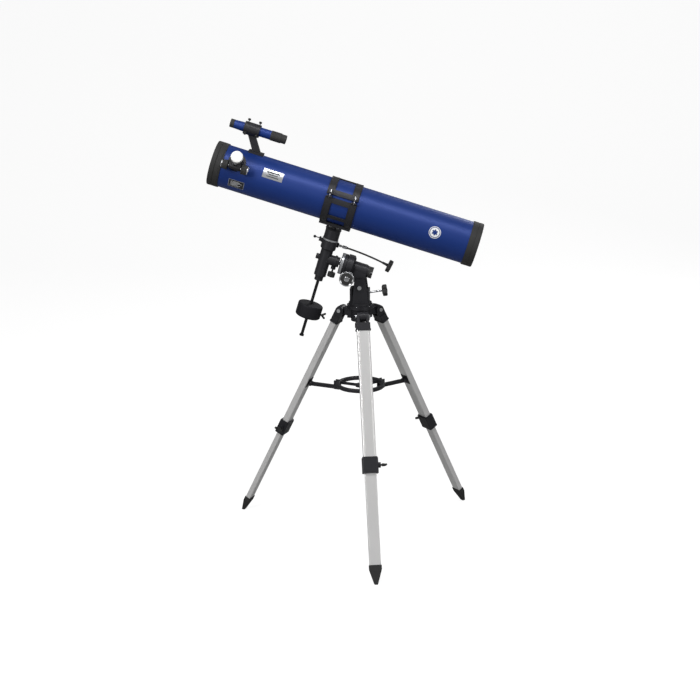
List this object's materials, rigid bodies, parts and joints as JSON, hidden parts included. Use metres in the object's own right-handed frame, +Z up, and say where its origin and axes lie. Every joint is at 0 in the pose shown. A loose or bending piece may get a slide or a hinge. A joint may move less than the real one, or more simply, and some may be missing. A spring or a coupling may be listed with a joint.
{
  "type": "telescope on tripod",
  "caption": "Reflector telescope in a ring cradle on a German equatorial mount with worm slow motions, over a folding aluminium tripod with a spreader ring.",
  "frame": {"origin": "middle of the whole footprint, on the floor", "axes": "+Z up, X along the tube's plane with the tube's front end towards -X, the focuser on the -Y side"},
  "size_m": [0.9034, 0.7618, 1.4079],
  "materials": {
    "black_casting": "semi-gloss powder coat",
    "leg_aluminium": "satin anodised",
    "foot_rubber": "matte",
    "black_plastic": "fine satin",
    "chrome": "polished",
    "steel": "turned",
    "satin_aluminium": "satin turned",
    "cable_sleeve": "satin sleeve",
    "weight_iron": "black enamel",
    "tube_blue": "deep blue gloss enamel",
    "mirror": "polished",
    "spider_black": "flat black",
    "white_plastic": "gloss"
  },
  "bodies": {
    "hub": {"hub": "black_casting", "hub_bolts": "chrome"},
    "leg_a": {"leg_upper_a": "leg_aluminium", "leg_fittings_a": "black_casting"},
    "lower_a": {"leg_lower_a": "leg_aluminium", "leg_foot_a": "foot_rubber"},
    "knob_a": {"leg_knob_a": "black_plastic"},
    "arm_a": {"spreader_arm_a": "black_casting"},
    "leg_b": {"leg_upper_b": "leg_aluminium", "leg_fittings_b": "black_casting"},
    "lower_b": {"leg_lower_b": "leg_aluminium", "leg_foot_b": "foot_rubber"},
    "knob_b": {"leg_knob_b": "black_plastic"},
    "arm_b": {"spreader_arm_b": "black_casting"},
    "leg_c": {"leg_upper_c": "leg_aluminium", "leg_fittings_c": "black_casting"},
    "lower_c": {"leg_lower_c": "leg_aluminium", "leg_foot_c": "foot_rubber"},
    "knob_c": {"leg_knob_c": "black_plastic"},
    "arm_c": {"spreader_arm_c": "black_casting"},
    "ring": {"spreader_ring": "black_casting"},
    "mount": {"yoke": "black_casting", "latitude_bolt": "chrome"},
    "azimuth_knob": {"azimuth_knob": "black_plastic"},
    "latitude_screw": {"latitude_screw": "chrome"},
    "polar": {"polar_housing": "black_casting", "polar_cap": "black_plastic"},
    "ra_wheel": {"ra_wheel": "satin_aluminium"},
    "ra_worm": {"ra_worm": "steel", "ra_knob": "chrome"},
    "ra_lock": {"ra_lock": "black_plastic"},
    "dec_body": {"dec_housing": "black_casting", "ra_shaft": "steel", "counterweight_bar": "steel", "dec_cable": "cable_sleeve"},
    "dec_wheel": {"dec_wheel": "satin_aluminium"},
    "dec_worm": {"dec_worm": "chrome"},
    "dec_knob": {"dec_knob": "black_plastic"},
    "dec_lock": {"dec_lock": "chrome"},
    "saddle": {"saddle": "black_casting", "dec_shaft": "steel", "cradle_lower": "black_casting"},
    "cradle_upper": {"cradle_upper": "black_casting", "cradle_screws": "chrome"},
    "counterweight": {"counterweight": "weight_iron"},
    "counterweight_screw": {"counterweight_screw": "black_plastic"},
    "ota": {"tube": "tube_blue", "front_ring": "black_plastic", "rear_cell": "black_plastic", "primary_mirror": "mirror", "spider": "spider_black", "focuser_base": "black_plastic", "finder_bracket": "black_plastic", "finder_screws": "black_plastic", "finder_tube": "tube_blue"},
    "dust_cap": {"dust_cap": "black_plastic"},
    "drawtube": {"drawtube": "chrome"},
    "focus_knobs": {"focus_knobs": "black_plastic"},
    "eyepiece_cap": {"eyepiece_cap": "white_plastic"},
    "finder_eyepiece": {"finder_eyepiece": "black_plastic"}
  },
  "joints": [
    {"name": "leg_fold_a", "type": "hinge", "parent": "hub", "child": "leg_a", "pos_m": [0.06102, 0.00681, 0.773], "axis": [0.9816, 0.1908, 0], "range_deg": [0, 18.7]},
    {"name": "leg_fold_b", "type": "hinge", "parent": "hub", "child": "leg_b", "pos_m": [0.09936, 0.11817, 0.773], "axis": [-0.6561, 0.7547, 0], "range_deg": [0, 18.7]},
    {"name": "leg_fold_c", "type": "hinge", "parent": "hub", "child": "leg_c", "pos_m": [-0.01625, 0.0957, 0.773], "axis": [-0.3256, -0.9455, 0], "range_deg": [0, 18.7]},
    {"name": "arm_pivot_a", "type": "hinge", "parent": "leg_a", "child": "arm_a", "pos_m": [0.08308, -0.10671, 0.50094], "axis": [0.9816, 0.1908, 0], "range_deg": [-107.82, 0]},
    {"name": "arm_pivot_b", "type": "hinge", "parent": "leg_b", "child": "arm_b", "pos_m": [0.18663, 0.19403, 0.50094], "axis": [-0.6561, 0.7547, 0], "range_deg": [-107.82, 0]},
    {"name": "arm_pivot_c", "type": "hinge", "parent": "leg_c", "child": "arm_c", "pos_m": [-0.12559, 0.13334, 0.50094], "axis": [-0.3256, -0.9455, 0], "range_deg": [-107.82, 0]},
    {"name": "ring_drop", "type": "slide", "parent": "hub", "child": "ring", "axis": [0, 0, -1], "range_m": [0, 0.1203]},
    {"name": "leg_extend_a", "type": "slide", "parent": "leg_a", "child": "lower_a", "axis": [0.0858, -0.4413, -0.8933], "range_m": [-0.25, 0.1]},
    {"name": "leg_knob_turn_a", "type": "hinge", "parent": "leg_a", "child": "knob_a", "pos_m": [0.13232, -0.20281, 0.33709], "axis": [0.9816, 0.1908, 0], "range_deg": [0, 180]},
    {"name": "leg_extend_b", "type": "slide", "parent": "leg_b", "child": "lower_b", "axis": [0.3393, 0.2949, -0.8933], "range_m": [-0.25, 0.1]},
    {"name": "leg_knob_turn_b", "type": "hinge", "parent": "leg_b", "child": "knob_b", "pos_m": [0.24524, 0.28473, 0.33709], "axis": [-0.6561, 0.7547, 0], "range_deg": [0, 180]},
    {"name": "leg_extend_c", "type": "slide", "parent": "leg_c", "child": "lower_c", "axis": [-0.425, 0.1464, -0.8933], "range_m": [-0.25, 0.1]},
    {"name": "leg_knob_turn_c", "type": "hinge", "parent": "leg_c", "child": "knob_c", "pos_m": [-0.23344, 0.13875, 0.33709], "axis": [-0.3256, -0.9455, 0], "range_deg": [0, 180]},
    {"name": "azimuth_turn", "type": "hinge", "parent": "hub", "child": "mount", "pos_m": [0.04804, 0.07356, 0.8], "axis": [0, 0, 1], "continuous": true},
    {"name": "azimuth_clamp_turn", "type": "hinge", "parent": "hub", "child": "azimuth_knob", "pos_m": [0.04804, 0.07356, 0.73], "axis": [0, 0, 1], "range_deg": [0, 180]},
    {"name": "latitude_tilt", "type": "hinge", "parent": "mount", "child": "polar", "pos_m": [0.04804, 0.07356, 0.86], "axis": [0, 1, 0], "range_deg": [-5, 33]},
    {"name": "latitude_screw_feed", "type": "slide", "parent": "mount", "child": "latitude_screw", "axis": [-0.9877, 0, -0.1564], "range_m": [-0.0025, 0.014]},
    {"name": "ra_slow", "type": "hinge", "parent": "polar", "child": "ra_wheel", "pos_m": [0.00631, 0.07356, 0.92871], "axis": [-0.9563, 0, 0.2924], "range_deg": [-15, 15]},
    {"name": "ra_slew", "type": "hinge", "parent": "ra_wheel", "child": "dec_body", "pos_m": [-0.02238, 0.07356, 0.93748], "axis": [-0.9563, 0, 0.2924], "range_deg": [-85, 60]},
    {"name": "ra_knob_turn", "type": "hinge", "parent": "polar", "child": "ra_worm", "pos_m": [0.01051, 0.01356, 0.89971], "axis": [0, 1, 0], "continuous": true},
    {"name": "ra_lock_turn", "type": "hinge", "parent": "dec_body", "child": "ra_lock", "pos_m": [-0.04822, 0.07356, 0.89571], "axis": [0.2924, 0, 0.9563], "range_deg": [0, 180]},
    {"name": "dec_slow", "type": "hinge", "parent": "dec_body", "child": "dec_wheel", "pos_m": [-0.04899, 0.07356, 1.01463], "axis": [0.2924, 0, 0.9563], "range_deg": [-15, 15]},
    {"name": "dec_slew", "type": "hinge", "parent": "dec_wheel", "child": "saddle", "pos_m": [-0.04782, 0.07356, 1.01845], "axis": [0.2924, 0, 0.9563], "continuous": true},
    {"name": "dec_worm_turn", "type": "hinge", "parent": "dec_body", "child": "dec_worm", "pos_m": [-0.05367, 0.09356, 0.99933], "axis": [0.9563, 0, -0.2924], "continuous": true},
    {"name": "dec_knob_turn", "type": "hinge", "parent": "dec_body", "child": "dec_knob", "pos_m": [0.1312, 0.09356, 0.92934], "axis": [0.891, 0, -0.454], "continuous": true},
    {"name": "dec_lock_turn", "type": "hinge", "parent": "dec_body", "child": "dec_lock", "pos_m": [-0.08252, 0.07356, 1.01442], "axis": [-0.9563, 0, 0.2924], "range_deg": [-45, 45]},
    {"name": "counterweight_slide", "type": "slide", "parent": "dec_body", "child": "counterweight", "axis": [0.2924, 0, 0.9563], "range_m": [-0.062, 0.08]},
    {"name": "counterweight_screw_turn", "type": "hinge", "parent": "counterweight", "child": "counterweight_screw", "pos_m": [-0.08051, 0.07356, 0.75761], "axis": [0.9563, 0, -0.2924], "range_deg": [0, 180]},
    {"name": "cradle_open", "type": "hinge", "parent": "saddle", "child": "cradle_upper", "pos_m": [-0.02045, 0.15011, 1.10797], "axis": [-0.9563, 0, 0.2924], "range_deg": [0, 110]},
    {"name": "tube_roll", "type": "hinge", "parent": "saddle", "child": "ota", "pos_m": [-0.01186, 0.07356, 1.13608], "axis": [0.9563, 0, -0.2924], "range_deg": [-120, 120]},
    {"name": "dust_cap_pull", "type": "slide", "parent": "ota", "child": "dust_cap", "axis": [-0.9563, 0, 0.2924], "range_m": [0, 0.15]},
    {"name": "focus_travel", "type": "slide", "parent": "ota", "child": "drawtube", "axis": [0.1462, -0.866, 0.4782], "range_m": [-0.01, 0.03]},
    {"name": "focus_knob_turn", "type": "hinge", "parent": "ota", "child": "focus_knobs", "pos_m": [-0.34467, -0.01837, 1.26374], "axis": [0.9563, 0, -0.2924], "continuous": true},
    {"name": "eyepiece_cap_pull", "type": "slide", "parent": "drawtube", "child": "eyepiece_cap", "axis": [0.1462, -0.866, 0.4782], "range_m": [0, 0.05]},
    {"name": "finder_focus", "type": "slide", "parent": "ota", "child": "finder_eyepiece", "axis": [0.9563, 0, -0.2924], "range_m": [-0.006, 0.004]}
  ],
  "couplings": [
    {"joint": "leg_fold_b", "follows": "leg_fold_a", "ratio": 1},
    {"joint": "leg_fold_c", "follows": "leg_fold_a", "ratio": 1},
    {"joint": "arm_pivot_a", "follows": "leg_fold_a", "ratio": -5.7389},
    {"joint": "arm_pivot_b", "follows": "leg_fold_a", "ratio": -5.7389},
    {"joint": "arm_pivot_c", "follows": "leg_fold_a", "ratio": -5.7389},
    {"joint": "ring_drop", "follows": "leg_fold_a", "m_per_rad": 0.36253},
    {"joint": "latitude_screw_feed", "follows": "latitude_tilt", "m_per_rad": 0.023},
    {"joint": "ra_knob_turn", "follows": "ra_slow", "ratio": 72},
    {"joint": "dec_worm_turn", "follows": "dec_slow", "ratio": 60},
    {"joint": "dec_knob_turn", "follows": "dec_slow", "ratio": 60},
    {"joint": "focus_knob_turn", "follows": "focus_travel", "rad_per_m": 217}
  ]
}
